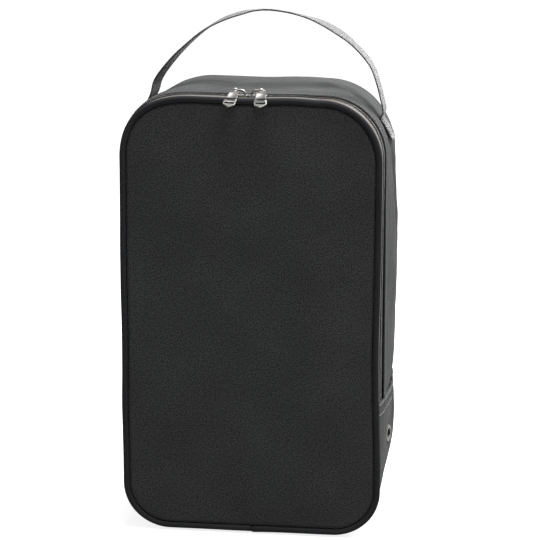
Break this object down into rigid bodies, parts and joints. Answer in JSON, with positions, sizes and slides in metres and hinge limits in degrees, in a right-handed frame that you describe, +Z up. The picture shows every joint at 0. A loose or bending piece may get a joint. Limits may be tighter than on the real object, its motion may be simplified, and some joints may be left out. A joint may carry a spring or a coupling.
{
  "type": "shoe bag",
  "caption": "Upright padded shoe bag with a piped front panel that zips open as a flap, rounded corners, ventilation eyelets and a webbing carrying handle.",
  "frame": {"origin": "middle of the base, on the surface the bag stands on, half way between the front and back panels", "axes": "+Z up; the front panel and its zip flap face -Y; +X to the right when looking at the front"},
  "size_m": [0.2166, 0.1399, 0.4233],
  "materials": {
    "shell_fabric": "matt dark charcoal woven polyester",
    "gusset_fabric": "dark grey woven polyester with a soft sheen",
    "piping": "dark charcoal piping cloth",
    "lining": "thin dark grey lining",
    "foam": "soft foam padding",
    "binding": "dark seam binding tape",
    "board": "thin plastic stiffener",
    "zip_tape": "grey taupe zip tape",
    "zip_coil": "nylon zip coil",
    "zip_metal": "satin nickel plate",
    "eyelet_metal": "dark nickel plate",
    "webbing": "ribbed grey polyester webbing"
  },
  "bodies": {
    "bag_body": {"back_panel": "shell_fabric", "back_foam": "foam", "back_lining": "lining", "back_seam_binding": "binding", "upper_gusset": "gusset_fabric", "upper_gusset_foam": "foam", "upper_gusset_lining": "lining", "base_gusset": "gusset_fabric", "base_gusset_foam": "foam", "base_gusset_lining": "lining", "base_board": "board", "front_panel_lower": "shell_fabric", "front_foam_lower": "foam", "front_lining_lower": "lining", "front_piping_lower": "piping", "front_binding_lower": "binding", "zip_tape_rear": "zip_tape", "zip_coil_rear": "zip_coil", "eyelet_left": "eyelet_metal", "eyelet_right": "eyelet_metal", "eyelet_washer_left": "eyelet_metal", "eyelet_washer_right": "eyelet_metal", "handle_end_left": "webbing", "handle_end_right": "webbing"},
    "front_flap": {"front_panel_flap": "shell_fabric", "front_foam_flap": "foam", "front_lining_flap": "lining", "front_piping_flap": "piping", "front_binding_flap": "binding", "zip_tape_front": "zip_tape", "zip_coil_front": "zip_coil"},
    "handle": {"handle_webbing": "webbing"},
    "slider_left": {"slider_left": "zip_metal"},
    "slider_right": {"slider_right": "zip_metal"},
    "puller_left": {"puller_left": "zip_metal"},
    "puller_right": {"puller_right": "zip_metal"}
  },
  "joints": [
    {"name": "front_flap_fold", "type": "hinge", "parent": "bag_body", "child": "front_flap", "pos_m": [0, -0.0663, 0.111], "axis": [1, 0, 0], "range_deg": [0, 110]},
    {"name": "handle_swing", "type": "hinge", "parent": "bag_body", "child": "handle", "pos_m": [-0.0915, 0, 0.3485], "axis": [0.9989, 0, -0.0469], "range_deg": [-40, 40]},
    {"name": "slider_left_travel", "type": "slide", "parent": "bag_body", "child": "slider_left", "axis": [-1, 0, 0], "range_m": [0, 0.04]},
    {"name": "slider_right_travel", "type": "slide", "parent": "bag_body", "child": "slider_right", "axis": [1, 0, 0], "range_m": [0, 0.04]},
    {"name": "puller_left_swing", "type": "hinge", "parent": "slider_left", "child": "puller_left", "pos_m": [-0.0138, -0.0516, 0.3624], "axis": [-1, 0, 0], "range_deg": [0, 195]},
    {"name": "puller_right_swing", "type": "hinge", "parent": "slider_right", "child": "puller_right", "pos_m": [0.0068, -0.0516, 0.3624], "axis": [-1, 0, 0], "range_deg": [0, 195]}
  ]
}
